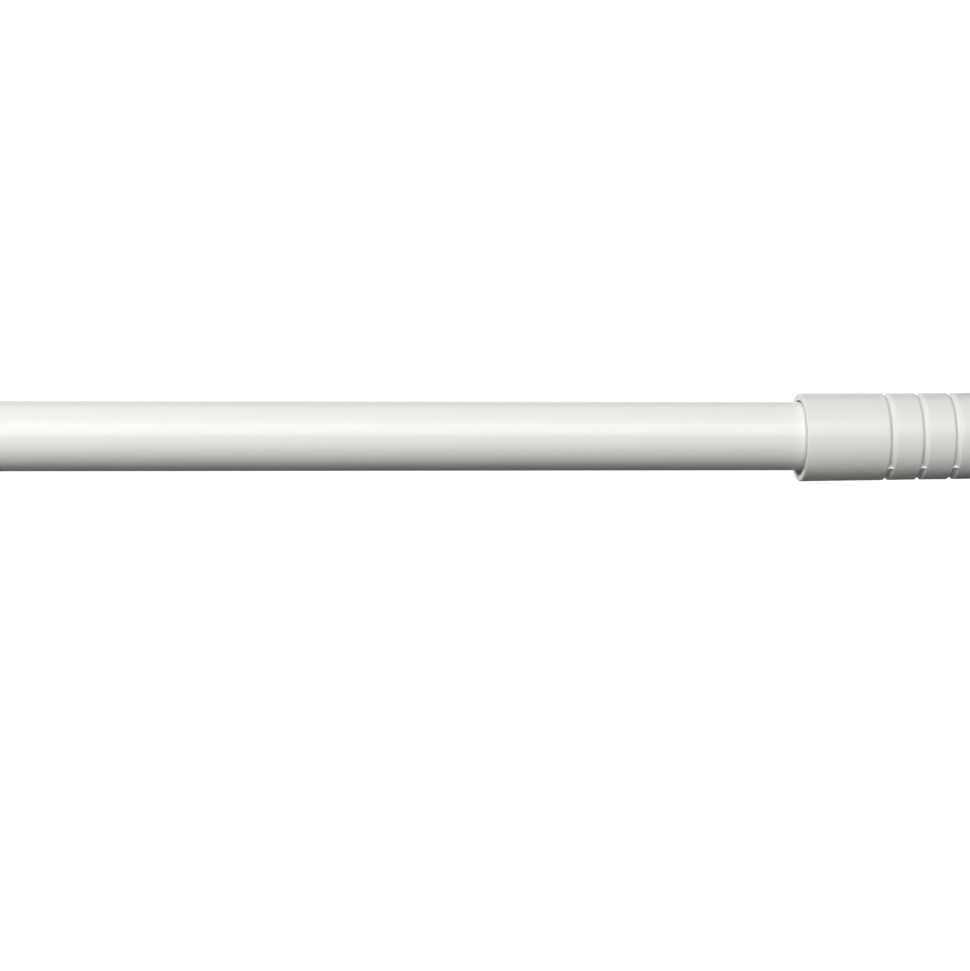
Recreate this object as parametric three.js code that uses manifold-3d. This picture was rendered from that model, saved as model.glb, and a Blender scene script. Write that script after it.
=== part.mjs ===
// A telescoping curtain rod with two wall brackets, at full size in millimetres.
//
// Frame: the origin is the middle of the left wall plate's back face, on the wall. +X runs along the
// rod, +Y points into the wall and +Z is up, so the rod hangs in front of the wall at negative Y.
//
// The rod is two thin steel tubes, one sliding in the other, with a moulded cap on each end. Each
// bracket is a wall plate with a socket, an arm that slides in it, and a cradle that the rod rests in.

import * as THREE from "three";
import { mergeVertices } from "three/addons/utils/BufferGeometryUtils.js";
import Module from "manifold-3d";

const wasm = await Module();
wasm.setup();

// ---- Driving dimensions -------------------------------------------------------------------------

const GAP = 0.3; // running clearance between two pieces that meet

const TUBE_WALL = 0.8;
const OUTER_TUBE_R = 9.5;
const OUTER_TUBE_LENGTH = 660;
const INNER_TUBE_R = OUTER_TUBE_R - TUBE_WALL - GAP;
const INNER_TUBE_LENGTH = 680;
const INNER_TUBE_LEFT = -120;

const CAP_MOUTH_X = 785; // the right cap's open end, with the rod at its usual length
const CAP_LENGTH = 54;
const CAP_MOUTH_R = 12.22;
const CAP_DRAFT = THREE.MathUtils.degToRad(0.27);
const CAP_BORE_R = 10.2;
const CAP_BORE_DEPTH = 50.5;
const CAP_BORE_FLARE = 0.25; // how much wider the bore is at the mouth, so that the core pulls out
const CAP_BORE_DROP = 0.15; // how far off centre the bore is at the mouth, towards -Z
const CAP_RIM_ROUND = 0.35;
const CAP_END_ROUND = 2.4;
const CAP_DROOP = THREE.MathUtils.degToRad(0.5); // the loose right cap's mouth hangs down a little
const CAP_PIVOT = 42; // from the mouth to the point that it tilts about
const CAP_BACK = 0.5; // how far the loose right cap is set towards the wall
const GROOVE_FIRST = 24.2; // from the mouth to the middle of the first groove
const GROOVE_PITCH = 9.15;
const GROOVE_COUNT = 3;
const GROOVE_HALF_WIDTH = 1.0;
const GROOVE_DEPTH = 1.0;
const GROOVE_FLOOR_HALF = 0.08;

const PLUG_FLANGE = 3; // thickness of the disc between the tube's end and the cap's end wall
const PLUG_BODY = 15; // how far the plug goes into the tube
const PLUG_RELIEF = 0.5;
const PLUG_RINGS = 3;

const BRACKET_SPACING = 515;
const PROJECTION = 88; // from the wall to the middle of the rod
const PLATE_WIDTH = 26;
const PLATE_HEIGHT = 88;
const PLATE_THICKNESS = 3;
const PLATE_BEVEL = 0.6;
const WALL_SCREW_Z = 33;
const SOCKET_R = 8.5;
const SOCKET_LENGTH = 36;
const ARM_R = 5;
const ARM_BACK_Y = -17;
const ARM_IN_CRADLE = 8;

const CRADLE_R = 10.8; // inside radius of the U
const CRADLE_THICKNESS = 2.4;
const CRADLE_WIDTH = 14;
const CRADLE_BACK_RISE = 9; // how high each side of the U stands above the middle of the rod
const CRADLE_FRONT_RISE = 5;
const CRADLE_BOSS_R = 6.9;
const CRADLE_BOSS_LENGTH = 9;

const THREAD_R = 2; // every thumbscrew's shank
const THUMB_LENGTH = 18.5;
const THUMB_TIP = 0.5; // the bevel on its tip
const THUMB_BOSS_R = 5;
const THUMB_BOSS_LENGTH = 6;
const KNOB_R = 6.5;
const KNOB_HEIGHT = 9;
const KNOB_GRIP = 5.4; // how far the shank is pressed into the knob
const KNOB_RIDGES = 24;
const KNOB_RIDGE_DEPTH = 0.45;
const KNOB_COLLAR_R = 4.2;
const KNOB_COLLAR = 1.6;
const LOCK_Y = -32; // the thumbscrew that holds the arm in its socket

const SCREW_R = 1.9;
const SCREW_HEAD_R = 4.2;
const SCREW_HEAD_HEIGHT = 2.3;
const SCREW_EDGE = 0.2; // the straight edge round a head
const WALL_SCREW_LENGTH = 34;
const CRADLE_SCREW_LENGTH = 14;
const SCREW_POINT = 7; // length of a wall screw's tapered point
const SCREW_SUNK = 0.1; // how far a head lies below the surface
const RECESS_ARM = 2.3; // half the length of a cross recess
const RECESS_WIDTH = 1;
const RECESS_DEPTH = 1.3;

const TUBE_SIDES = 36;
const CAP_SIDES = 36;
const BRACKET_SIDES = 28;
const SMALL_SIDES = 20;
const CRADLE_ARC_STEPS = 12;

// ---- Materials ----------------------------------------------------------------------------------

function material(color, roughness, metalness) {
  return new THREE.MeshStandardMaterial({ color, roughness, metalness });
}

const tubePaint = () => material(0xeeeeea, 0.35, 0.0);
const capPlastic = () => material(0xebebe8, 0.4, 0.0);
const plugPlastic = () => material(0xd9d9d2, 0.6, 0.0);
const bracketPaint = () => material(0xecece8, 0.38, 0.0);
const zincSteel = () => material(0xb9babb, 0.3, 1.0);

// ---- Joining and cutting ------------------------------------------------------------------------

function solidOf(geometry) {
  const bare = geometry.index ? geometry.toNonIndexed() : geometry.clone();
  bare.deleteAttribute("normal");
  bare.deleteAttribute("uv");
  const merged = mergeVertices(bare, 1e-4);
  const vertProperties = merged.attributes.position.array;
  const triVerts = new Uint32Array(merged.index.array);
  return new wasm.Manifold(new wasm.Mesh({ numProp: 3, vertProperties, triVerts }));
}

function geometryOf(solid) {
  const { vertProperties, triVerts } = solid.getMesh();
  const geometry = new THREE.BufferGeometry();
  geometry.setAttribute("position", new THREE.BufferAttribute(vertProperties, 3));
  geometry.setIndex(new THREE.BufferAttribute(triVerts, 1));
  geometry.computeVertexNormals();
  return geometry;
}

function combine(added, removed) {
  const whole = added.map(solidOf).reduce((sum, next) => sum.add(next));
  return geometryOf(removed.map(solidOf).reduce((rest, next) => rest.subtract(next), whole));
}

// ---- Basic shapes -------------------------------------------------------------------------------

// A turned shape about Y from [radius, height] pairs. The profile starts and ends on the axis, or
// closes on itself.
function turned(profile, sides) {
  const outline = profile.map(([r, h]) => new THREE.Vector2(r, h));
  return new THREE.LatheGeometry(outline, sides);
}

// A solid bar about Y from height low to height high.
function bar(radius, low, high, sides) {
  return new THREE.CylinderGeometry(radius, radius, high - low, sides).translate(0, (low + high) / 2, 0);
}

const QUARTER = Math.PI / 2;
const alongX = (geometry) => geometry.rotateZ(-QUARTER); // a height becomes +X
const alongMinusX = (geometry) => geometry.rotateZ(QUARTER);
const alongZ = (geometry) => geometry.rotateX(QUARTER); // a height becomes +Z

function named(name, geometry, finish) {
  const mesh = new THREE.Mesh(geometry, finish);
  mesh.name = name;
  return mesh;
}

// ---- The rod ------------------------------------------------------------------------------------

function tubeGeometry(radius, left, right) {
  const bore = radius - TUBE_WALL;
  const profile = [[bore, left], [radius, left], [radius, right], [bore, right], [bore, left]];
  return alongX(turned(profile, TUBE_SIDES));
}

// The cap's outside radius at a distance from its mouth. The mould's draft makes it slimmer inwards.
function capRadius(h) {
  return CAP_MOUTH_R - h * Math.tan(CAP_DRAFT);
}

// A cap about Y with its mouth at height 0 and its closed end at CAP_LENGTH.
function capGeometry() {
  const boreMouth = CAP_BORE_R + CAP_BORE_FLARE;
  const profile = [[0, CAP_BORE_DEPTH], [CAP_BORE_R, CAP_BORE_DEPTH], [boreMouth, 0]];
  profile.push([capRadius(0) - CAP_RIM_ROUND, 0], [capRadius(0), CAP_RIM_ROUND]);
  for (let i = 0; i < GROOVE_COUNT; i++) {
    const middle = GROOVE_FIRST + i * GROOVE_PITCH;
    const floor = capRadius(middle) - GROOVE_DEPTH;
    profile.push([capRadius(middle - GROOVE_HALF_WIDTH), middle - GROOVE_HALF_WIDTH]);
    profile.push([floor, middle - GROOVE_FLOOR_HALF]);
    profile.push([floor, middle + GROOVE_FLOOR_HALF]);
    profile.push([capRadius(middle + GROOVE_HALF_WIDTH), middle + GROOVE_HALF_WIDTH]);
  }
  const end = capRadius(CAP_LENGTH - CAP_END_ROUND) - CAP_END_ROUND;
  for (let angle = 0; angle <= 90; angle += 30) {
    const turn = THREE.MathUtils.degToRad(angle);
    profile.push([
      end + CAP_END_ROUND * Math.cos(turn),
      CAP_LENGTH - CAP_END_ROUND * (1 - Math.sin(turn)),
    ]);
  }
  profile.push([0, CAP_LENGTH]);
  const cap = turned(profile, CAP_SIDES);

  // Only the ring of points at the bore's mouth moves off centre, so the bore leans a little.
  const points = cap.getAttribute("position");
  for (let i = 0; i < points.count; i++) {
    const reach = Math.hypot(points.getX(i), points.getZ(i));
    if (points.getY(i) === 0 && reach < boreMouth + CAP_BORE_DROP) {
      points.setZ(i, points.getZ(i) - CAP_BORE_DROP);
    }
  }
  return cap;
}

// A plug about Y for a tube of the given bore, with the tube's end at height 0 and its flange above.
function plugGeometry(bore) {
  const grip = bore - GAP;
  const waist = grip - PLUG_RELIEF;
  const step = PLUG_BODY / PLUG_RINGS;
  const profile = [[0, -PLUG_BODY]];
  for (let i = 0; i < PLUG_RINGS; i++) {
    const low = -PLUG_BODY + i * step;
    profile.push([waist, low], [grip, low + step * 0.35], [grip, low + step * 0.65]);
  }
  const flange = CAP_BORE_R - 2 * GAP;
  const top = GAP + PLUG_FLANGE;
  profile.push([waist, GAP], [flange, GAP], [flange, top], [0, top]);
  return turned(profile, SMALL_SIDES);
}

const TUBE_IN_CAP = CAP_BORE_DEPTH - PLUG_FLANGE - 2 * GAP;

function buildRod() {
  const rod = new THREE.Group();
  rod.position.y = -PROJECTION;

  const outerRight = CAP_MOUTH_X + TUBE_IN_CAP;
  const outerTube = tubeGeometry(OUTER_TUBE_R, outerRight - OUTER_TUBE_LENGTH, outerRight);
  const innerTube = tubeGeometry(INNER_TUBE_R, INNER_TUBE_LEFT, INNER_TUBE_LEFT + INNER_TUBE_LENGTH);
  rod.add(named("outer_tube", outerTube, tubePaint()));
  rod.add(named("inner_tube", innerTube, tubePaint()));

  const rightCapShape = alongX(capGeometry().translate(0, -CAP_PIVOT, 0));
  const rightCap = named("right_end_cap", rightCapShape, capPlastic());
  rightCap.position.set(CAP_MOUTH_X + CAP_PIVOT, CAP_BACK, 0);
  rightCap.rotation.y = -CAP_DROOP;
  const rightPlugShape = alongX(plugGeometry(OUTER_TUBE_R - TUBE_WALL));
  const rightPlug = named("right_cap_plug", rightPlugShape, plugPlastic());
  rightPlug.position.x = outerRight;
  rod.add(rightCap, rightPlug);

  const leftCap = named("left_end_cap", alongMinusX(capGeometry()), capPlastic());
  leftCap.position.x = INNER_TUBE_LEFT + TUBE_IN_CAP;
  const leftPlugShape = alongMinusX(plugGeometry(INNER_TUBE_R - TUBE_WALL));
  const leftPlug = named("left_cap_plug", leftPlugShape, plugPlastic());
  leftPlug.position.x = INNER_TUBE_LEFT;
  rod.add(leftCap, leftPlug);
  return rod;
}

// ---- Screws -------------------------------------------------------------------------------------

// A countersunk screw about Y: the top of its head is at height 0 and its point is at -length.
function countersunkScrew(length, point) {
  const profile = [[0, -length]];
  if (point) profile.push([SCREW_R * 0.25, -length], [SCREW_R, -length + point]);
  else profile.push([SCREW_R, -length]);
  profile.push([SCREW_R, -SCREW_HEAD_HEIGHT], [SCREW_HEAD_R, -SCREW_EDGE]);
  profile.push([SCREW_HEAD_R, 0], [0, 0]);
  const slots = [0, QUARTER].map((turn) =>
    new THREE.BoxGeometry(2 * RECESS_ARM, 2 * RECESS_DEPTH, RECESS_WIDTH).rotateY(turn),
  );
  return combine([turned(profile, SMALL_SIDES)], slots);
}

// The cone and bore that a countersunk screw of this length sits in, with the running clearance.
function countersink(length) {
  const bore = SCREW_R + GAP;
  const head = SCREW_HEAD_R + GAP;
  const profile = [[0, -length], [bore, -length], [bore, -SCREW_HEAD_HEIGHT]];
  profile.push([head, -SCREW_EDGE], [head, 1], [0, 1]);
  return turned(profile, SMALL_SIDES);
}

// A thumbscrew's shank about Y, pointing up, with its tip at height 0.
function thumbShank() {
  const profile = [[0, -THUMB_LENGTH], [THREAD_R, -THUMB_LENGTH], [THREAD_R, -THUMB_TIP]];
  profile.push([THREAD_R - THUMB_TIP, 0], [0, 0]);
  return turned(profile, SMALL_SIDES);
}

// The knob that is pressed on the shank: a fluted outline with a plain collar on top.
function thumbKnob() {
  const top = -THUMB_LENGTH + KNOB_GRIP;
  const outline = new THREE.Shape();
  for (let i = 0; i < 2 * KNOB_RIDGES; i++) {
    const r = KNOB_R - (i % 2) * KNOB_RIDGE_DEPTH;
    const turn = (i * Math.PI) / KNOB_RIDGES;
    if (i === 0) outline.moveTo(r, 0);
    else outline.lineTo(r * Math.cos(turn), r * Math.sin(turn));
  }
  outline.closePath();
  const gripHeight = KNOB_HEIGHT - KNOB_COLLAR;
  const grip = new THREE.ExtrudeGeometry(outline, { depth: gripHeight, bevelEnabled: false });
  grip.rotateX(-QUARTER).translate(0, top - KNOB_HEIGHT, 0);
  const collar = bar(KNOB_COLLAR_R, top - KNOB_COLLAR - 1, top, SMALL_SIDES);
  const bore = bar(THREAD_R + GAP, -THUMB_LENGTH - GAP, top + 1, SMALL_SIDES);
  return combine([grip, collar], [bore]);
}

// ---- A bracket ----------------------------------------------------------------------------------

// The wall plate: a rounded plate on the wall with a blind socket for the arm and a boss below the
// socket for its thumbscrew.
function wallPlateGeometry() {
  const half = PLATE_WIDTH / 2 - PLATE_BEVEL;
  const straight = PLATE_HEIGHT / 2 - PLATE_WIDTH / 2;
  const outline = new THREE.Shape();
  outline.absarc(0, straight, half, 0, Math.PI);
  outline.absarc(0, -straight, half, Math.PI, 2 * Math.PI);
  outline.closePath();
  const plate = new THREE.ExtrudeGeometry(outline, {
    depth: PLATE_THICKNESS - PLATE_BEVEL,
    bevelSize: PLATE_BEVEL,
    bevelThickness: PLATE_BEVEL,
    bevelSegments: 1,
    curveSegments: 10,
  });
  const back = new THREE.BoxGeometry(PLATE_WIDTH * 2, PLATE_HEIGHT * 2, PLATE_THICKNESS);
  back.translate(0, 0, -PLATE_THICKNESS / 2);
  const flush = geometryOf(solidOf(plate).subtract(solidOf(back)));
  flush.rotateX(QUARTER);

  const socketEnd = PLATE_THICKNESS + SOCKET_LENGTH;
  const socket = bar(SOCKET_R, PLATE_THICKNESS - 1, socketEnd, BRACKET_SIDES);
  const socketBore = bar(ARM_R + GAP, PLATE_THICKNESS, socketEnd + 1, BRACKET_SIDES);
  for (const part of [socket, socketBore]) part.rotateX(Math.PI);
  const bossLow = -SOCKET_R - THUMB_BOSS_LENGTH + 1;
  const boss = alongZ(bar(THUMB_BOSS_R, bossLow, -ARM_R - 1.5, SMALL_SIDES));
  const bossBore = alongZ(bar(THREAD_R + GAP, bossLow - 1, 0, SMALL_SIDES));
  for (const part of [boss, bossBore]) part.translate(0, LOCK_Y, 0);
  const holes = [-WALL_SCREW_Z, WALL_SCREW_Z].map((z) =>
    countersink(PLATE_THICKNESS + 1).rotateX(Math.PI).translate(0, -PLATE_THICKNESS, z),
  );
  return combine([flush, socket, boss], [socketBore, bossBore, ...holes]);
}

const CRADLE_BACK_Y = -PROJECTION + CRADLE_R + CRADLE_THICKNESS;
const ARM_SEAT_Y = CRADLE_BACK_Y + CRADLE_BOSS_LENGTH - ARM_IN_CRADLE; // bottom of the cradle's socket
const CRADLE_SCREW_Y = -PROJECTION + CRADLE_R; // the top of the head of the screw in the cradle

function armGeometry() {
  const shaft = bar(ARM_R, -ARM_BACK_Y, -ARM_SEAT_Y - GAP, BRACKET_SIDES);
  const tappedEnd = -CRADLE_SCREW_Y - CRADLE_SCREW_LENGTH - GAP;
  const tapped = bar(SCREW_R + GAP, tappedEnd, -ARM_SEAT_Y, SMALL_SIDES);
  return combine([shaft], [tapped]).rotateX(Math.PI);
}

// The middle of the U's arc is above the rod's axis, because the rod lies on the bottom of it.
const CRADLE_ARC_Z = CRADLE_R - OUTER_TUBE_R - GAP;
const CRADLE_BOTTOM_Z = CRADLE_ARC_Z - CRADLE_R - CRADLE_THICKNESS;

// An outline drawn in the plane across the rod, made into a slab centred on a bracket.
function acrossRod(outline, width) {
  const slab = new THREE.ExtrudeGeometry(outline, {
    depth: width,
    bevelEnabled: false,
    curveSegments: CRADLE_ARC_STEPS,
  });
  slab.translate(0, 0, -width / 2).rotateY(QUARTER).rotateX(QUARTER);
  return slab.translate(0, -PROJECTION, 0);
}

function cradleStrap() {
  const outside = CRADLE_R + CRADLE_THICKNESS;
  const lip = CRADLE_THICKNESS / 2;
  const outline = new THREE.Shape();
  outline.absarc(0, CRADLE_ARC_Z, outside, Math.PI, 2 * Math.PI);
  outline.absarc(outside - lip, CRADLE_BACK_RISE - lip, lip, 0, Math.PI);
  outline.absarc(0, CRADLE_ARC_Z, CRADLE_R, 2 * Math.PI, Math.PI, true);
  outline.absarc(-outside + lip, CRADLE_FRONT_RISE - lip, lip, 0, Math.PI);
  outline.closePath();
  return acrossRod(outline, CRADLE_WIDTH);
}

// The room inside the U, which the bosses are trimmed to.
function cradleInside() {
  const outline = new THREE.Shape();
  outline.absarc(0, CRADLE_ARC_Z, CRADLE_R, Math.PI, 2 * Math.PI);
  outline.lineTo(CRADLE_R, CRADLE_BOSS_R + 1);
  outline.lineTo(-CRADLE_R, CRADLE_BOSS_R + 1);
  outline.closePath();
  return acrossRod(outline, 2 * CRADLE_BOSS_R + 2);
}

// The U, with a socket behind it for the arm and a boss below it for its thumbscrew.
function cradleGeometry() {
  const bossMouth = -CRADLE_BACK_Y - CRADLE_BOSS_LENGTH;
  const boss = bar(CRADLE_BOSS_R, bossMouth, PROJECTION - CRADLE_R / 2, BRACKET_SIDES);
  const armBore = bar(ARM_R + GAP, bossMouth - 1, -ARM_SEAT_Y, BRACKET_SIDES);
  for (const part of [boss, armBore]) part.rotateX(Math.PI);
  const screwHole = countersink(CRADLE_BOSS_LENGTH).rotateX(Math.PI);
  screwHole.translate(0, CRADLE_SCREW_Y, 0);

  const low = CRADLE_BOTTOM_Z - THUMB_BOSS_LENGTH;
  const thumbBoss = alongZ(bar(THUMB_BOSS_R, low, CRADLE_BOTTOM_Z + 2 * CRADLE_THICKNESS, SMALL_SIDES));
  const thumbBore = alongZ(bar(THREAD_R + GAP, low - 1, 0, SMALL_SIDES));
  for (const part of [thumbBoss, thumbBore]) part.translate(0, -PROJECTION, 0);
  const added = [cradleStrap(), boss, thumbBoss];
  return combine(added, [cradleInside(), armBore, screwHole, thumbBore]);
}

// A thumbscrew that points up, with its tip at this place: its shank and the knob pressed on it.
function buildThumbscrew(name, y, z) {
  const screw = new THREE.Group();
  screw.position.set(0, y, z);
  screw.add(named(name, alongZ(thumbShank()), zincSteel()));
  screw.add(named(name + "_knob", alongZ(thumbKnob()), bracketPaint()));
  return screw;
}

function buildBracket(side, x) {
  const bracket = new THREE.Group();
  bracket.position.x = x;
  bracket.add(named(side + "_wall_plate", wallPlateGeometry(), bracketPaint()));
  for (const [place, z] of [["upper", WALL_SCREW_Z], ["lower", -WALL_SCREW_Z]]) {
    const screw = countersunkScrew(WALL_SCREW_LENGTH, SCREW_POINT).rotateX(Math.PI);
    screw.translate(0, -PLATE_THICKNESS + SCREW_SUNK, z);
    bracket.add(named(`${side}_${place}_wall_screw`, screw, zincSteel()));
  }
  bracket.add(named(side + "_arm", armGeometry(), bracketPaint()));
  bracket.add(named(side + "_cradle", cradleGeometry(), bracketPaint()));
  const cradleScrew = countersunkScrew(CRADLE_SCREW_LENGTH - SCREW_SUNK, 0).rotateX(Math.PI);
  cradleScrew.translate(0, CRADLE_SCREW_Y + SCREW_SUNK, 0);
  bracket.add(named(side + "_cradle_screw", cradleScrew, zincSteel()));
  bracket.add(buildThumbscrew(side + "_arm_lock_screw", LOCK_Y, -ARM_R - GAP));
  bracket.add(buildThumbscrew(side + "_rod_lock_screw", -PROJECTION, -OUTER_TUBE_R - GAP));
  return bracket;
}

// ---- The whole rod on its brackets --------------------------------------------------------------

const curtainRod = new THREE.Group();
curtainRod.add(buildRod());
curtainRod.add(buildBracket("left", 0));
curtainRod.add(buildBracket("right", BRACKET_SPACING));

export default curtainRod;
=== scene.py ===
"""A telescoping off-white curtain rod on two adjustable wall brackets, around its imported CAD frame.

The frame is in metres: +X along the rod, +Y into the wall, +Z up. The camera, the lights and the
studio are placed in metres. The sizes of the pieces' details are in millimetres, and MM turns them
into metres.
"""

import math

import bmesh
import bpy
import numpy as np
from mathutils import Matrix, Vector
from mathutils.geometry import delaunay_2d_cdt


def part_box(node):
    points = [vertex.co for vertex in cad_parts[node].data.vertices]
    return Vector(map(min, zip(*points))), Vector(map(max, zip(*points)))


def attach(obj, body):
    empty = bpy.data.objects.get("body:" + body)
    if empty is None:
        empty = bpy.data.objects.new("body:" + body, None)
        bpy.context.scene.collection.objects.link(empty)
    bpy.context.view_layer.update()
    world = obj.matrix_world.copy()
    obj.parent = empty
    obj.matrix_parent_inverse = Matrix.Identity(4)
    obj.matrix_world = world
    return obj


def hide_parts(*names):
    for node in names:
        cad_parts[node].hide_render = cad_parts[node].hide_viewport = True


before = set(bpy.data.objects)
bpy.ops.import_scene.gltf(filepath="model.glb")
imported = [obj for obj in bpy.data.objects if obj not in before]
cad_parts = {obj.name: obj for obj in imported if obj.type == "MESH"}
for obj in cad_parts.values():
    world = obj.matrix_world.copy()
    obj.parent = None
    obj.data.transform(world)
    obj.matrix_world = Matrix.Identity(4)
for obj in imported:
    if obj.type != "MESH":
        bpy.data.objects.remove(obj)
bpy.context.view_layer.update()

MM = 0.001
TAU = 2 * math.pi
SIDES = ("left", "right")


# ---- Places, worked out from the frame ----------------------------------------------------------

def middle(node):
    """The middle of a CAD node's box."""
    low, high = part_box(node)
    return (low + high) / 2


rod_middle = middle("outer_tube")
ROD_Y, ROD_Z = rod_middle.y, rod_middle.z
cap_low, cap_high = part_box("left_end_cap")
CAP_LENGTH = cap_high.x - cap_low.x
CAP_MOUTH_R = (cap_high.z - cap_low.z) / 2
TUBE_IN_CAP = 0.0469          # how far the outer tube reaches into the right cap
RIGHT_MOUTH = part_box("outer_tube")[1].x - TUBE_IN_CAP
BRACKET_X = {side: middle(side + "_wall_plate").x for side in SIDES}


# ---- The camera ---------------------------------------------------------------------------------
# It stands just above the rod's level and left of the right cap's mouth, and looks a little to the
# right and down.

CAMERA_DISTANCE = 0.9403      # from the rod's line
CAMERA_LEFT_OF_MOUTH = 0.2016
CAMERA_ABOVE_ROD = 0.0195
CAMERA_YAW = math.radians(6.910)
CAMERA_PITCH = math.radians(1.998)
CAMERA_ROLL = math.radians(0.136)
LENS = 128.11                 # in millimetres
SENSOR_WIDTH = 36


def make_camera():
    data = bpy.data.cameras.new("camera")
    data.lens = LENS
    data.sensor_width = SENSOR_WIDTH
    data.clip_start = 0.01
    data.clip_end = 50
    camera = bpy.data.objects.new("camera", data)
    away = Vector((-CAMERA_LEFT_OF_MOUTH, -CAMERA_DISTANCE, CAMERA_ABOVE_ROD))
    camera.location = Vector((RIGHT_MOUTH, ROD_Y, ROD_Z)) + away
    turn = Matrix.Rotation(-CAMERA_YAW, 4, "Z") @ Matrix.Rotation(math.pi / 2 - CAMERA_PITCH, 4, "X")
    camera.rotation_euler = (turn @ Matrix.Rotation(CAMERA_ROLL, 4, "Z")).to_euler()
    bpy.context.scene.collection.objects.link(camera)
    bpy.context.scene.camera = camera


# ---- Making meshes ------------------------------------------------------------------------------

SMOOTH_ANGLE = 38             # in degrees: a sharper edge than this stays an edge


def mesh_object(name, points, faces, sharp_angle=SMOOTH_ANGLE):
    """A closed mesh object with its faces pointing out, smooth except at sharp edges."""
    mesh = bpy.data.meshes.new(name)
    mesh.from_pydata([tuple(p) for p in points], [], [tuple(int(i) for i in f) for f in faces])
    mesh.validate()
    if signed_volume(mesh) < 0:
        mesh.flip_normals()
    piece = bpy.data.objects.new(name, mesh)
    bpy.context.scene.collection.objects.link(piece)
    smooth(mesh, sharp_angle)
    return piece


def smooth(mesh, sharp_angle):
    mesh.shade_smooth()
    mesh.set_sharp_from_angle(angle=math.radians(sharp_angle))


def signed_volume(mesh):
    """A closed mesh's volume, which is negative if its faces point in."""
    mesh.calc_loop_triangles()
    points = np.empty(len(mesh.vertices) * 3)
    mesh.vertices.foreach_get("co", points)
    points = points.reshape(-1, 3)
    corners = np.empty(len(mesh.loop_triangles) * 3, np.int32)
    mesh.loop_triangles.foreach_get("vertices", corners)
    a, b, c = (points[corners.reshape(-1, 3)[:, i]] for i in range(3))
    return float((a * np.cross(b, c)).sum() / 6)


def grid_faces(rows, columns, first=0):
    """Quads between neighbouring rows of a grid whose columns run round."""
    r, c = np.meshgrid(np.arange(rows - 1), np.arange(columns), indexing="ij")
    here, above = r * columns, (r + 1) * columns
    after = (c + 1) % columns
    quads = np.stack([here + c, here + after, above + after, above + c], -1)
    return (quads.reshape(-1, 4) + first).tolist()


def spun(name, profile, place, columns=96, angles=None, radius=None, sharp_angle=SMOOTH_ANGLE):
    """A shape turned about its own Z from (radius, height) pairs in mm, then put in place by a matrix.

    The profile starts and ends on the axis, or closes on itself. radius(r, h, angle) may change a
    row's radius from place to place.
    """
    profile = np.array(profile, float)
    closes = profile[0, 0] > 1e-9
    rows = profile if closes else profile[1:-1]
    if angles is None:
        angles = np.linspace(0, TAU, columns, endpoint=False)
    r, h, angle = rows[:, :1], rows[:, 1:], angles[None, :]
    shown = r + 0 * angle if radius is None else radius(r, h, angle)
    grid = np.stack([shown * np.cos(angle), shown * np.sin(angle), h + 0 * angle], -1)
    points = grid.reshape(-1, 3)
    n, m = grid.shape[:2]
    faces = grid_faces(n, m)
    last = (n - 1) * m
    if closes:
        faces += [[last + c, last + (c + 1) % m, (c + 1) % m, c] for c in range(m)]
    else:
        points = np.vstack([points, [[0, 0, profile[0, 1]], [0, 0, profile[-1, 1]]]])
        faces += [[n * m, (c + 1) % m, c] for c in range(m)]
        faces += [[n * m + 1, last + c, last + (c + 1) % m] for c in range(m)]
    piece = mesh_object(name, points * MM, faces, sharp_angle)
    move(piece, place)
    return piece


def move(piece, place):
    """Moves the mesh itself, so that the object stays at the origin."""
    piece.data.transform(place)
    if place.determinant() < 0:
        piece.data.flip_normals()


def standing(direction, at):
    """The matrix that stands a shape's own Z along a direction, with its origin at a point."""
    turn = Vector((0, 0, 1)).rotation_difference(Vector(direction))
    return Matrix.Translation(at) @ turn.to_matrix().to_4x4()


EDGE_SUPPORT = 0.12           # how close to a rounded corner the extra point beside it lies


def rounded(corners, steps=4):
    """An outline with its corners rounded, from (x, y) or (x, y, radius) corners.

    Straight stretches get a point close to each rounded corner, which keeps their shading flat.
    """
    result = []
    for i, corner in enumerate(corners):
        here = np.array(corner[:2], float)
        size = corner[2] if len(corner) > 2 else 0
        if not size or i in (0, len(corners) - 1):
            result.append(here)
            continue
        back = np.array(corners[i - 1][:2], float) - here
        on = np.array(corners[i + 1][:2], float) - here
        back, on = back / np.linalg.norm(back), on / np.linalg.norm(on)
        half = math.acos(np.clip(back @ on, -1, 1)) / 2
        run = size / math.tan(half)
        centre = here + (back + on) / np.linalg.norm(back + on) * size / math.sin(half)
        start, end = here + back * run - centre, here + on * run - centre
        sweep = math.pi - 2 * half
        result.append(here + back * (run + EDGE_SUPPORT))
        for k in range(steps + 1):
            turned = sweep * k / steps
            blend = start * math.sin(sweep - turned) + end * math.sin(turned)
            result.append(centre + blend / math.sin(sweep))
        result.append(here + on * (run + EDGE_SUPPORT))
    return [tuple(p) for p in result]


def combine(piece, tool, operation):
    """Joins a tool to a piece or cuts it away, and removes the tool."""
    modifier = piece.modifiers.new("combine", "BOOLEAN")
    modifier.operation = operation
    modifier.solver = "EXACT"
    modifier.object = tool
    bpy.context.view_layer.update()
    evaluated = piece.evaluated_get(bpy.context.evaluated_depsgraph_get())
    whole = bpy.data.meshes.new_from_object(evaluated)
    piece.modifiers.clear()
    piece.data = whole
    bpy.data.objects.remove(tool)


# ---- Flat slabs with holes ----------------------------------------------------------------------

MERGE_DISTANCE = 1e-7
HOLE_COLUMNS = 64


def arc(centre, radius, start, end, steps):
    """Points along an arc between two angles in degrees."""
    turn = np.radians(np.linspace(start, end, steps + 1))
    return np.stack([centre[0] + radius * np.cos(turn), centre[1] + radius * np.sin(turn)], -1)


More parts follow.
